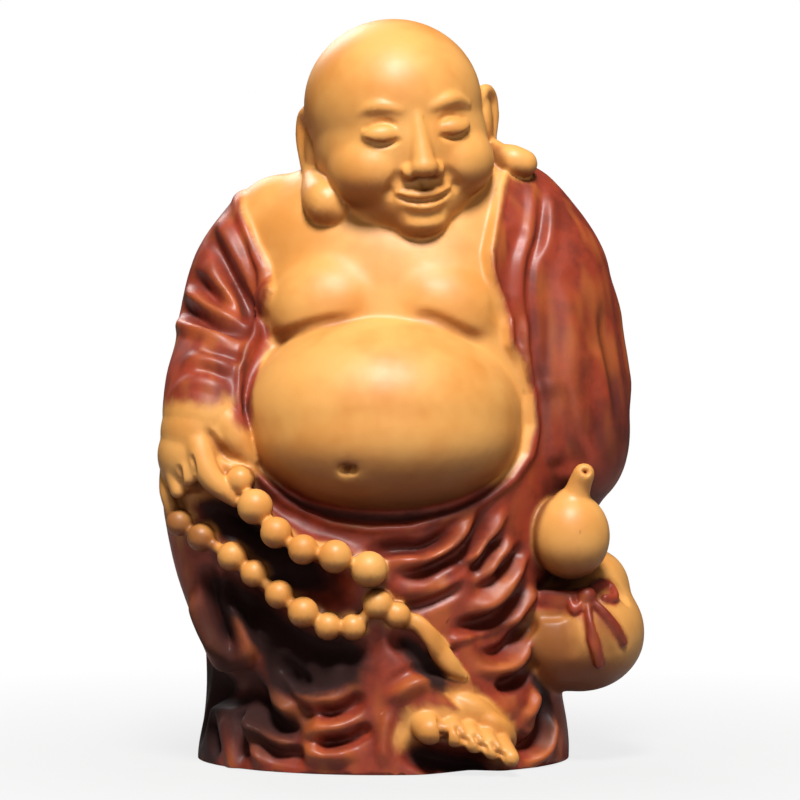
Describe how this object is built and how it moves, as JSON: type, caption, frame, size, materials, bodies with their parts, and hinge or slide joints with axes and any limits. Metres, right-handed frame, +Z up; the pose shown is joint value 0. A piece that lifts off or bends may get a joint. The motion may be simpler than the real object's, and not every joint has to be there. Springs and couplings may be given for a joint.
{
  "type": "laughing buddha root carving",
  "caption": "Standing laughing monk in an open robe, holding up a string of beads, with a gourd and a cloth bag at the hip, carved in one piece on a flat foot.",
  "frame": {"origin": "middle of the figure's bounding box, on the ground under its flat foot", "axes": "+Z up along the figure's height, -Y the way the belly faces, +X towards the gourd and the bag"},
  "size_m": [0.1684, 0.1284, 0.2577],
  "materials": {
    "stained_wood": "smooth satin, ochre on the bare skin, beads, gourd and bag, and red-brown stain on the robe, darker in the hollows"
  },
  "bodies": {
    "root": {"monk_figure": "stained_wood"}
  },
  "joints": []
}
